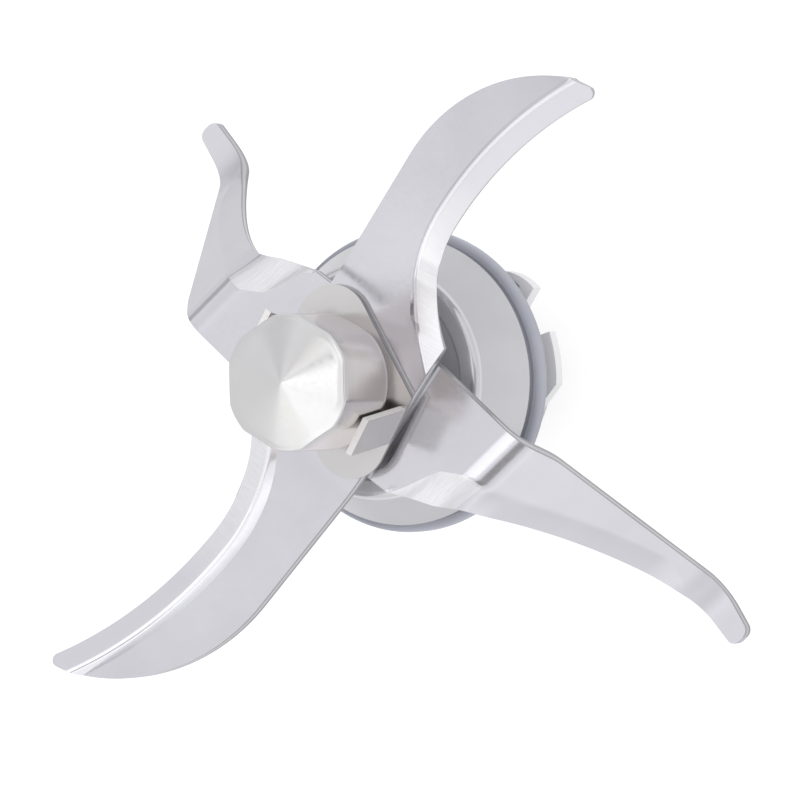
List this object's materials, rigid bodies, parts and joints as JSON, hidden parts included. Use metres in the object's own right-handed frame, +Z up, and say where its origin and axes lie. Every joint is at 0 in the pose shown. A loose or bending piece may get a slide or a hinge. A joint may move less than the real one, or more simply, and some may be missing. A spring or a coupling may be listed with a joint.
{
  "type": "blender blade assembly",
  "caption": "Blender blade assembly: crossed curved and folded steel blades held by a cap nut on a sealed bearing housing with a gasket, bayonet ring and drive dog.",
  "frame": {"origin": "on the shaft's axis, in the face of the gasket that rests on the jug's floor", "axes": "+Z up along the shaft towards the cap nut, +X within a few degrees of the middle of a bayonet lug"},
  "size_m": [0.0922, 0.0856, 0.0704],
  "materials": {
    "blade_steel": "polished",
    "plate_steel": "satin",
    "nut_steel": "polished",
    "housing_metal": "polished",
    "turned_steel": "turned",
    "bearing_steel": "ground",
    "spring_steel": "satin",
    "gasket_rubber": "smooth",
    "seal_rubber": "matt",
    "ring_plastic": "moulded",
    "coupling_plastic": "moulded"
  },
  "bodies": {
    "housing": {"bearing_housing": "housing_metal", "gasket": "gasket_rubber", "bayonet_ring": "ring_plastic", "outer_distance_ring": "turned_steel", "seal_case": "turned_steel", "shaft_seal": "seal_rubber", "seal_spring": "spring_steel", "circlip": "spring_steel", "upper_bearing_outer_ring": "bearing_steel", "upper_bearing_shields": "spring_steel", "lower_bearing_outer_ring": "bearing_steel", "lower_bearing_shields": "spring_steel"},
    "rotor": {"drive_shaft": "turned_steel", "slinger_sleeve": "turned_steel", "inner_distance_sleeve": "turned_steel", "drive_coupling": "coupling_plastic", "coupling_pin": "turned_steel", "upper_blade": "blade_steel", "lower_blade": "blade_steel", "lock_plate": "plate_steel", "cap_nut": "nut_steel", "upper_bearing_inner_ring": "bearing_steel", "lower_bearing_inner_ring": "bearing_steel"},
    "upper_ball_set": {"upper_bearing_balls": "bearing_steel", "upper_bearing_cage": "spring_steel"},
    "lower_ball_set": {"lower_bearing_balls": "bearing_steel", "lower_bearing_cage": "spring_steel"}
  },
  "joints": [
    {"name": "rotor_spin", "type": "hinge", "parent": "housing", "child": "rotor", "pos_m": [0, 0, 0], "axis": [0, 0, 1], "continuous": true},
    {"name": "upper_ball_roll", "type": "hinge", "parent": "housing", "child": "upper_ball_set", "pos_m": [0, 0, 0], "axis": [0, 0, 1], "continuous": true},
    {"name": "lower_ball_roll", "type": "hinge", "parent": "housing", "child": "lower_ball_set", "pos_m": [0, 0, 0], "axis": [0, 0, 1], "continuous": true}
  ],
  "couplings": [
    {"joint": "upper_ball_roll", "follows": "rotor_spin", "ratio": 0.3693},
    {"joint": "lower_ball_roll", "follows": "rotor_spin", "ratio": 0.3693}
  ]
}
